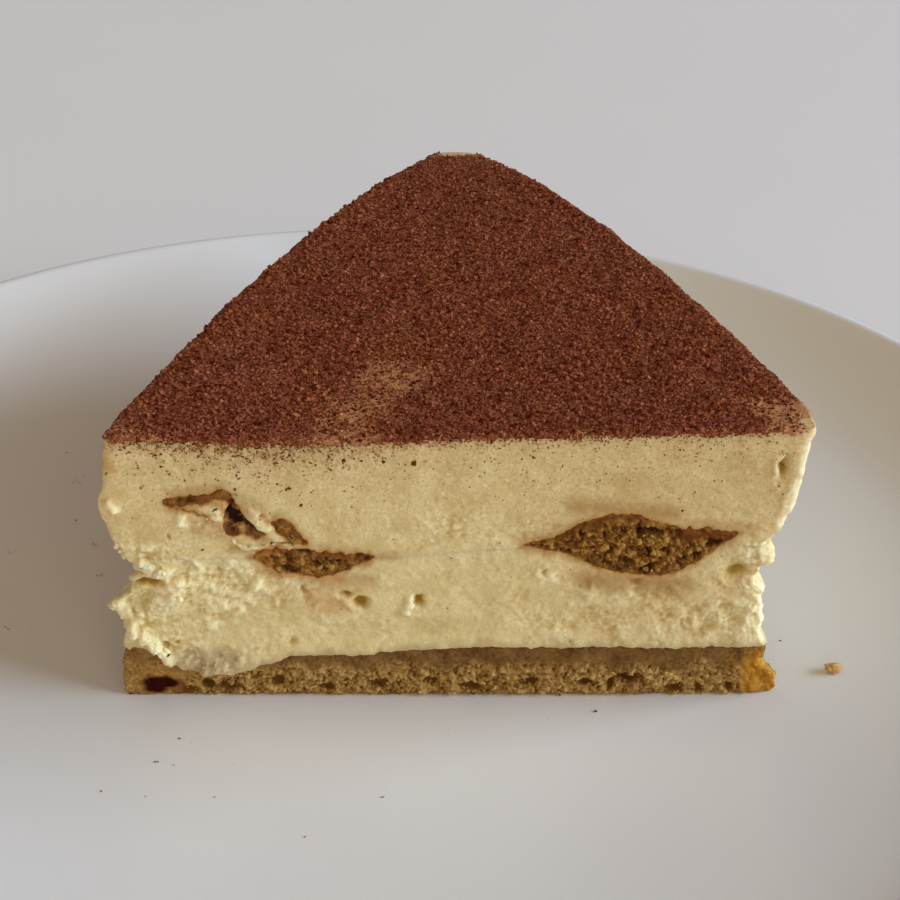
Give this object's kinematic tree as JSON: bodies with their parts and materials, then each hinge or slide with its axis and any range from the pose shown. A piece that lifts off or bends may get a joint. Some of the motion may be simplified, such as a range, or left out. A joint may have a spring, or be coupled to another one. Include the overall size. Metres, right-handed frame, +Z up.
{
  "type": "tiramisu slice",
  "caption": "Wedge of layered tiramisu, with a biscuit base, mascarpone cream around soaked ladyfingers and a dusting of cocoa, on its round white plate.",
  "frame": {"origin": "on the table under the middle of the plate", "axes": "+Z up; the wide cut face of the slice looks along -Y, and the wedge narrows towards +Y"},
  "size_m": [0.24, 0.24, 0.0537],
  "materials": {
    "plate": "gloss glaze",
    "biscuit": "matte, coffee-soaked crumb",
    "cream": "soft satin, pale yellow cream",
    "ladyfinger": "matte, coffee-soaked sponge",
    "cocoa": "dry powder"
  },
  "bodies": {
    "root": {"plate": "plate", "biscuit_base": "biscuit", "mascarpone_lower": "cream", "mascarpone_upper": "cream", "ladyfinger_left": "ladyfinger", "ladyfinger_right": "ladyfinger", "cocoa_layer": "cocoa"}
  },
  "joints": []
}
